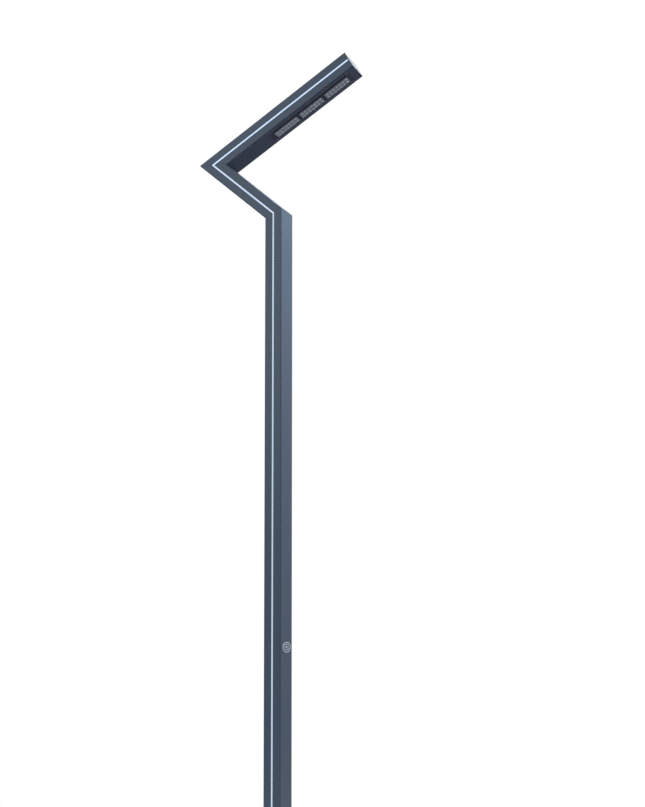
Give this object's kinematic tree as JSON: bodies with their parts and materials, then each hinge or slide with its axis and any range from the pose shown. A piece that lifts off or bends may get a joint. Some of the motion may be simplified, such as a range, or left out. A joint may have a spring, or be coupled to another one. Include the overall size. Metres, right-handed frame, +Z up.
{
  "type": "street lamp post",
  "caption": "Angular street lamp: flanged box-section mast, mitred knee and head arm, light line along the front, lens modules under the head.",
  "frame": {"origin": "centre of the base plate's underside, on the mast's centreline, at ground level", "axes": "+Z up the mast; the head arm reaches towards +X and the knee leans towards -X; the light line faces -Y"},
  "size_m": [0.9382, 0.28, 4.6014],
  "materials": {
    "coated_frame": "satin",
    "cap_metal": "satin",
    "tray_coat": "satin",
    "splice_metal": "satin",
    "sink_metal": "satin",
    "fastener_steel": "satin",
    "lock_metal": "satin",
    "seal_rubber": "matte",
    "line_opal": "satin",
    "tape_board": "matte",
    "lens_plate": "satin",
    "led_board": "satin",
    "led_chip": "gloss",
    "gear_zinc": "satin",
    "driver_case": "satin",
    "device_plastic": "satin",
    "toggle_plastic": "satin",
    "surge_plastic": "satin",
    "terminal_plastic": "matte",
    "earth_brass": "satin",
    "badge_metal": "satin"
  },
  "bodies": {
    "post": {"base_plate": "coated_frame", "base_gussets": "coated_frame", "mast_profile": "coated_frame", "knee_profile": "coated_frame", "head_profile": "coated_frame", "knee_splice": "splice_metal", "head_splice": "splice_metal", "knee_splice_screws": "fastener_steel", "head_splice_screws": "fastener_steel", "end_cap": "cap_metal", "end_cap_gasket": "seal_rubber", "end_cap_screws": "fastener_steel", "end_cap_lugs": "splice_metal", "line_stop": "seal_rubber", "mast_diffuser": "line_opal", "knee_diffuser": "line_opal", "head_diffuser": "line_opal", "mast_led_tape": "tape_board", "knee_led_tape": "tape_board", "head_led_tape": "tape_board", "module_tray": "tray_coat", "tray_screws": "fastener_steel", "module_heatsink_1": "sink_metal", "module_heatsink_2": "sink_metal", "module_heatsink_3": "sink_metal", "module_board_1": "led_board", "module_board_2": "led_board", "module_board_3": "led_board", "module_leds_1": "led_chip", "module_leds_2": "led_chip", "module_leds_3": "led_chip", "module_lens_1": "lens_plate", "module_lens_2": "lens_plate", "module_lens_3": "lens_plate", "module_gaskets": "seal_rubber", "module_screws": "fastener_steel", "door_gasket": "seal_rubber", "hinge_knuckles": "coated_frame", "hinge_pins": "fastener_steel", "gear_plate": "gear_zinc", "gear_studs": "fastener_steel", "gear_nuts": "fastener_steel", "led_driver": "driver_case", "line_driver": "driver_case", "driver_screws": "fastener_steel", "din_rail": "gear_zinc", "breaker_body": "device_plastic", "surge_protector": "surge_plastic", "terminal_block": "terminal_plastic", "earth_stud": "earth_brass", "earth_nut": "fastener_steel", "badge": "badge_metal", "badge_pins": "fastener_steel"},
    "door": {"access_door": "coated_frame", "lock_housing": "lock_metal"},
    "cam": {"lock_cam": "lock_metal", "lock_nut": "lock_metal"},
    "toggle": {"breaker_toggle": "toggle_plastic"}
  },
  "joints": [
    {"name": "door_hinge", "type": "hinge", "parent": "post", "child": "door", "pos_m": [-0.055, 0.061, 0.51], "axis": [0, 0, -1], "range_deg": [0, 110]},
    {"name": "lock_turn", "type": "hinge", "parent": "door", "child": "cam", "pos_m": [-0.0457, -0.036, 0.51], "axis": [1, 0, 0], "range_deg": [0, 90]},
    {"name": "toggle_tilt", "type": "hinge", "parent": "post", "child": "toggle", "pos_m": [-0.019, -0.026, 0.446], "axis": [0, -1, 0], "range_deg": [0, 44]}
  ]
}
